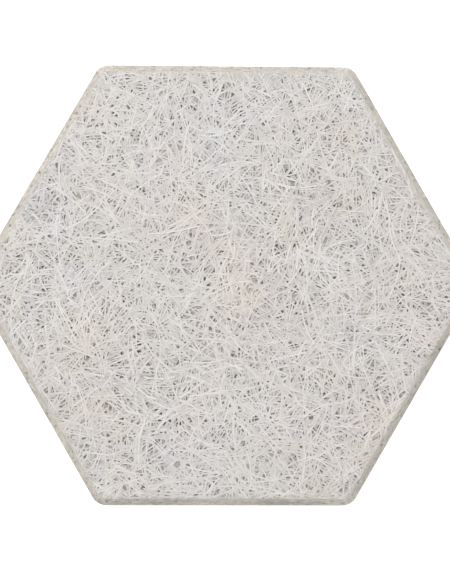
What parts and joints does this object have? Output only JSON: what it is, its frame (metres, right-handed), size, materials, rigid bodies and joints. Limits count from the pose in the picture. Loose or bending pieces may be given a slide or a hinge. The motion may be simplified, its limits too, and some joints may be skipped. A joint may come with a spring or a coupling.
{
  "type": "wood wool acoustic panel",
  "caption": "Hexagonal wall or ceiling panel of pressed, cement-bound wood strands, with rounded corners and a chamfer round its front face.",
  "frame": {"origin": "middle of the back face, which is glued or screwed to the wall", "axes": "+Z out of the front face, +X across the corners, +Y across the flats"},
  "size_m": [0.5712, 0.5, 0.025],
  "materials": {
    "coated_wood_wool": "matt, pale wood strands under a thin coat of white cement"
  },
  "bodies": {
    "root": {"wood_wool_panel": "coated_wood_wool"}
  },
  "joints": []
}
